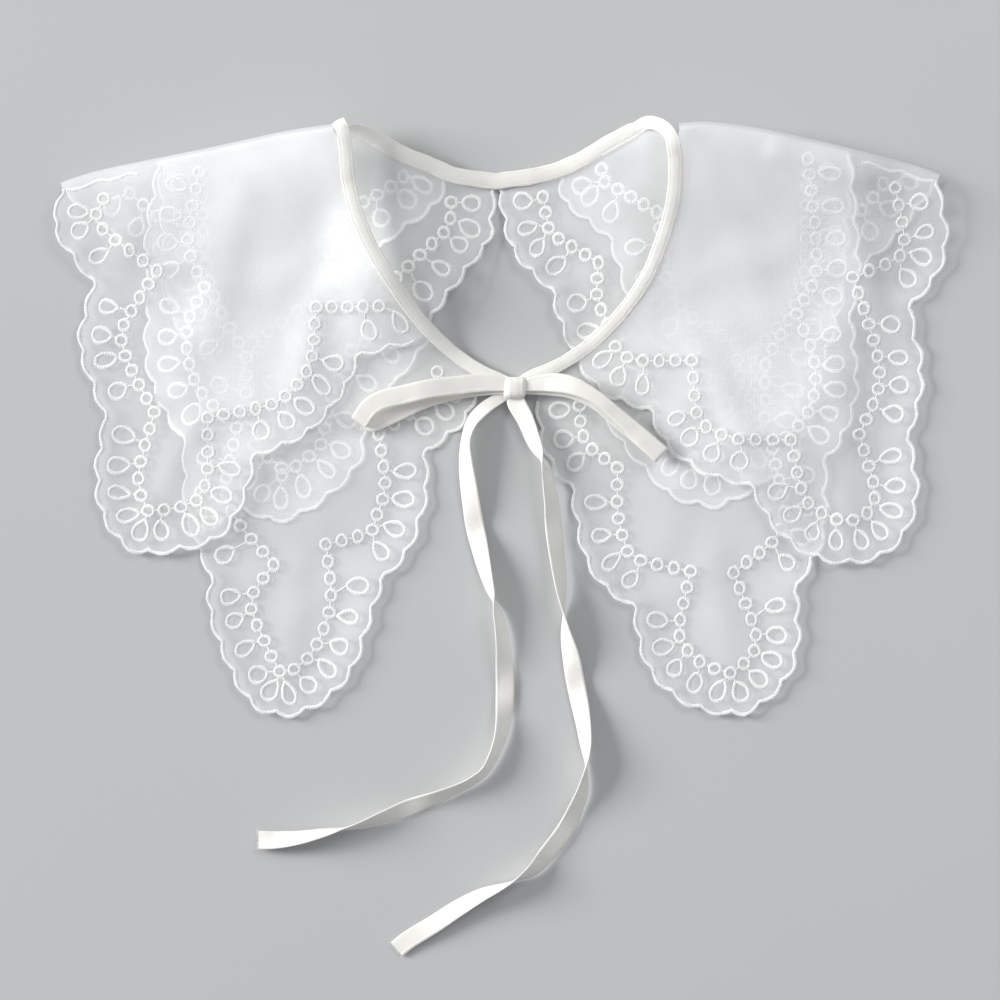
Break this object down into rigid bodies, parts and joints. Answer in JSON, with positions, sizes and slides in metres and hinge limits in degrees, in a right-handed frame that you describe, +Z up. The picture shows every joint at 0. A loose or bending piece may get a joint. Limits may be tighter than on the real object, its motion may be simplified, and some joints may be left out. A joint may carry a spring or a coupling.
{
  "type": "lace collar",
  "caption": "Detachable two-tier organza collar with scalloped lace lobes and a bound neck tied in a bow, laid flat.",
  "frame": {"origin": "middle of the collar's footprint without the tie ends, on the table under it", "axes": "+X to the right across the two halves, +Y from the front hems to the shoulders, +Z up from the table"},
  "size_m": [0.4294, 0.4028, 0.0232],
  "materials": {
    "outer_tier_left": "matte",
    "outer_tier_right": "matte",
    "under_tier_left": "matte",
    "under_tier_right": "matte",
    "neck_binding": "satin",
    "tie_knot": "satin",
    "bow_loop_left": "satin",
    "bow_loop_right": "satin",
    "tie_tail_left": "satin",
    "tie_tail_right": "satin"
  },
  "bodies": {
    "root": {"outer_tier_left": "outer_tier_left", "outer_tier_right": "outer_tier_right", "under_tier_left": "under_tier_left", "under_tier_right": "under_tier_right", "neck_binding": "neck_binding", "tie_knot": "tie_knot", "bow_loop_left": "bow_loop_left", "bow_loop_right": "bow_loop_right", "tie_tail_left": "tie_tail_left", "tie_tail_right": "tie_tail_right"}
  },
  "joints": []
}
